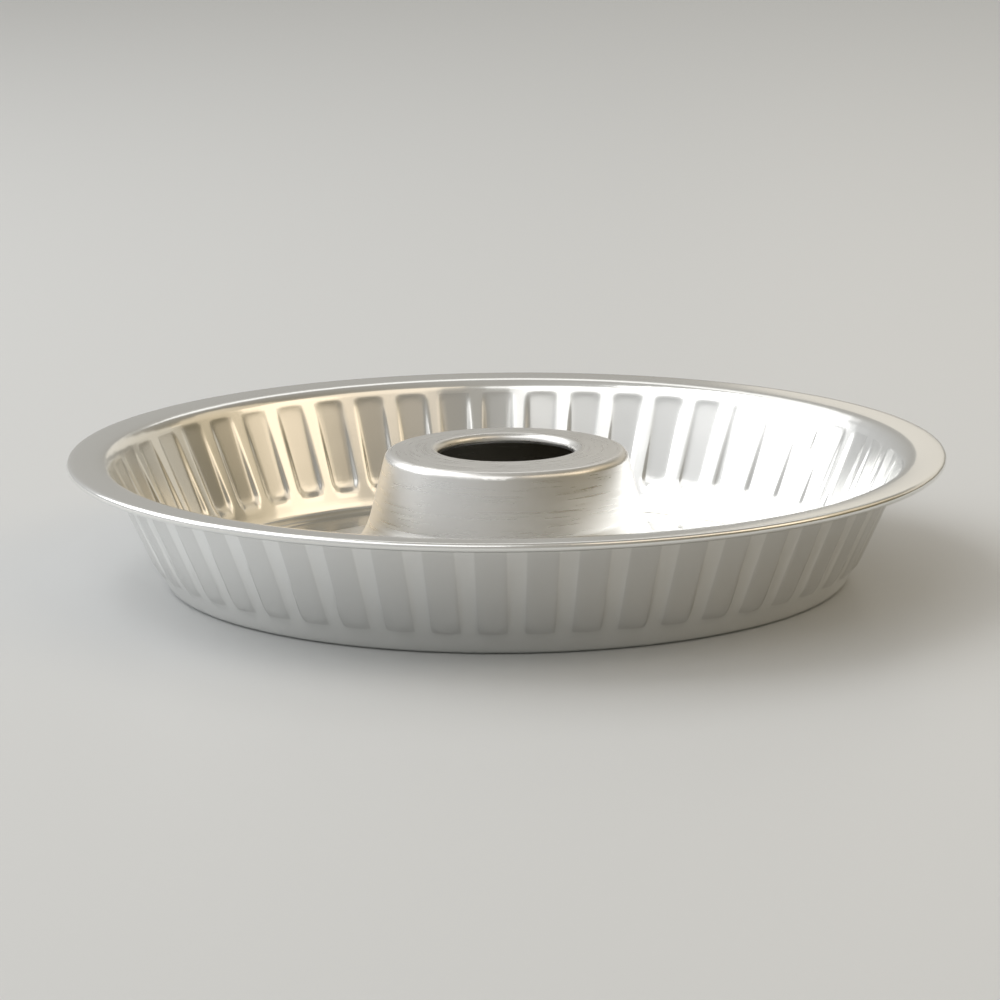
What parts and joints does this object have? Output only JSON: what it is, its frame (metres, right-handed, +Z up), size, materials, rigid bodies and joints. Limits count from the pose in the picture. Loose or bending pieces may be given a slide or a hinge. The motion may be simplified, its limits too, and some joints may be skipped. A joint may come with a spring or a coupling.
{
  "type": "angel food cake pan",
  "caption": "Shallow round aluminium cake pan with a fluted sloping wall, flat flange with curled bead, and a loose base plate with a flared centre tube that lifts out",
  "frame": {"origin": "on the pan's axis, at the height of the table that it stands on", "axes": "+Z up along the pan's axis; +X to the right and -Y to the viewer of the picture; the pan is the same all round"},
  "size_m": [0.28, 0.28, 0.0411],
  "materials": {
    "wall_aluminium": "pressed sheet, satin, fine drawing lines round the wall",
    "wire_steel": "drawn steel wire, dull",
    "plate_aluminium": "pressed sheet, satin",
    "tube_aluminium": "spun sheet, satin, fine lines round the axis"
  },
  "bodies": {
    "ring": {"fluted_wall": "wall_aluminium", "rim_wire": "wire_steel"},
    "insert": {"base_plate": "plate_aluminium", "centre_tube": "tube_aluminium"}
  },
  "joints": [
    {"name": "insert_lift", "type": "slide", "parent": "ring", "child": "insert", "axis": [0, 0, 1], "range_m": [0, 0.08]}
  ]
}
